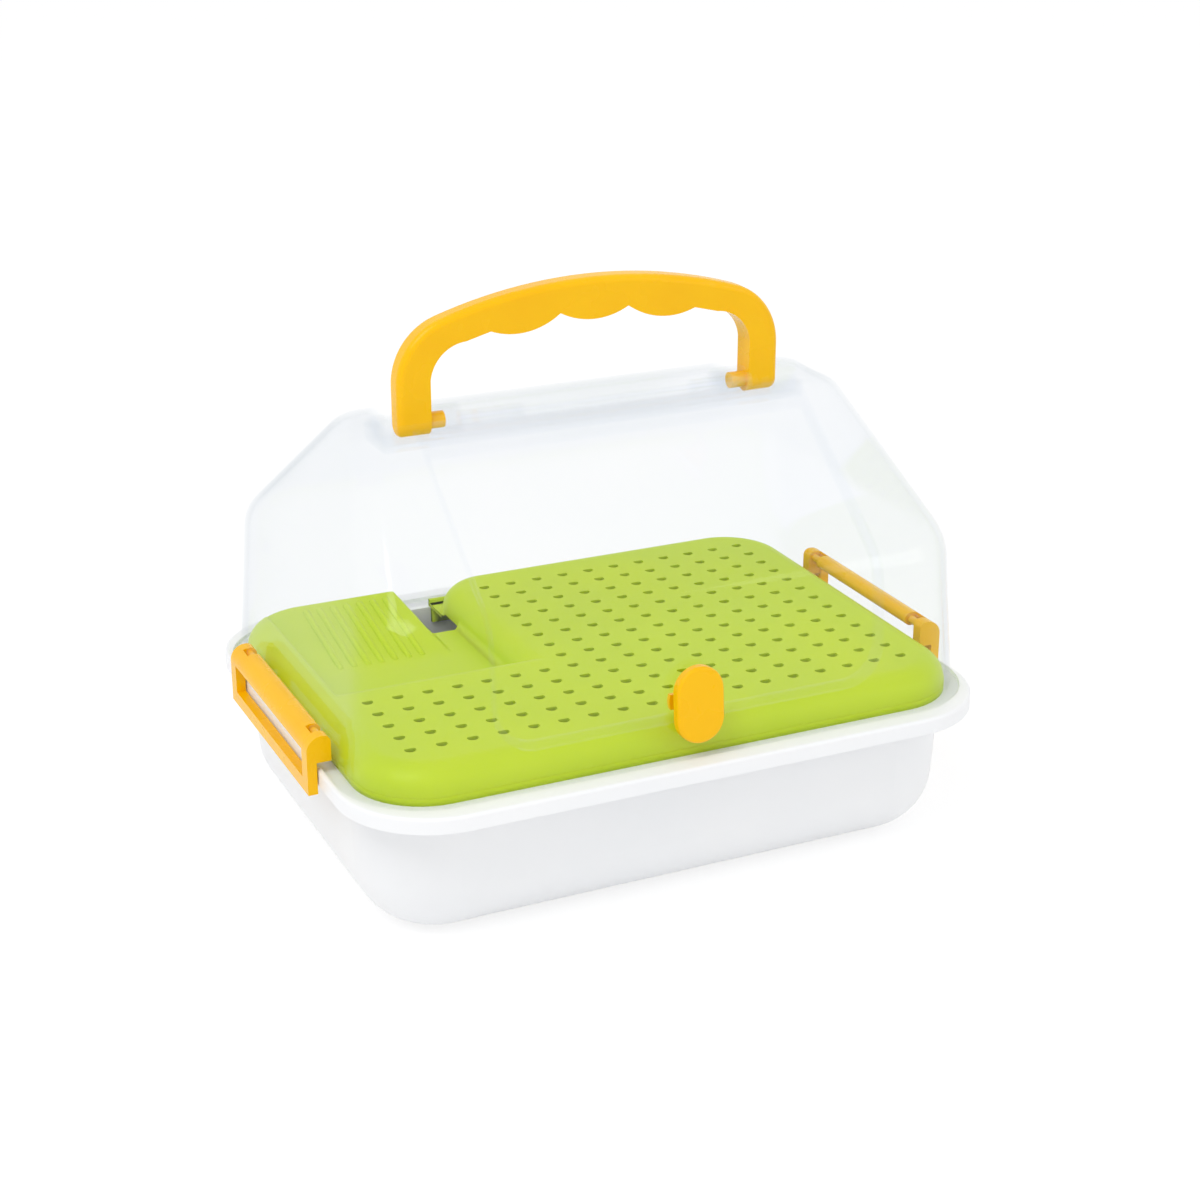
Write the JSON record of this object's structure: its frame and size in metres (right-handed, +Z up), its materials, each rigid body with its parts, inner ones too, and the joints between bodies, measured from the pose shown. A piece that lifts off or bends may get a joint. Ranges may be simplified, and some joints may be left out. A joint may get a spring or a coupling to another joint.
{
  "type": "turtle tank",
  "caption": "Small turtle tank: white tub, lime basking deck with drain holes and a ramp, clear domed lid with a front door, and a yellow handle, knob and end clips.",
  "frame": {"origin": "middle of the tub's underside", "axes": "+X along the length to the right clip, -Y out of the door, +Z up"},
  "size_m": [0.2602, 0.2, 0.213],
  "materials": {
    "tub_white": "satin moulded",
    "deck_lime": "satin moulded",
    "clear_lid": "clear polished",
    "amber": "glossy translucent",
    "steel": "plain"
  },
  "bodies": {
    "tub": {"tub": "tub_white"},
    "deck": {"deck": "deck_lime"},
    "lid": {"dome": "clear_lid", "door_hinge_rod": "clear_lid"},
    "door": {"door": "clear_lid"},
    "knob": {"turn_knob": "amber", "latch_tongue": "amber", "knob_screw": "steel"},
    "handle": {"handle": "amber"},
    "clip_left": {"clip_left": "amber"},
    "clip_right": {"clip_right": "amber"}
  },
  "joints": [
    {"name": "lid_lift", "type": "slide", "parent": "tub", "child": "lid", "axis": [0, 0, 1], "range_m": [0, 0.12]},
    {"name": "deck_lift", "type": "slide", "parent": "tub", "child": "deck", "axis": [0, 0, 1], "range_m": [0, 0.06]},
    {"name": "door_swing", "type": "hinge", "parent": "lid", "child": "door", "pos_m": [0, -0.016, 0.1709], "axis": [-1, 0, 0], "range_deg": [0, 95]},
    {"name": "knob_turn", "type": "hinge", "parent": "door", "child": "knob", "pos_m": [0, -0.08772, 0.079], "axis": [0, -0.9966, 0.0824], "range_deg": [0, 90]},
    {"name": "handle_fold", "type": "hinge", "parent": "lid", "child": "handle", "pos_m": [0, 0, 0.16605], "axis": [-1, 0, 0], "range_deg": [0, 68]},
    {"name": "clip_right_swing", "type": "hinge", "parent": "lid", "child": "clip_right", "pos_m": [0.12373, 0, 0.0693], "axis": [0, -1, 0], "range_deg": [0, 88]},
    {"name": "clip_left_swing", "type": "hinge", "parent": "lid", "child": "clip_left", "pos_m": [-0.12373, 0, 0.0693], "axis": [0, 1, 0], "range_deg": [0, 88]}
  ],
  "couplings": [
    {"joint": "deck_lift", "follows": "lid_lift", "ratio": 0.5}
  ]
}
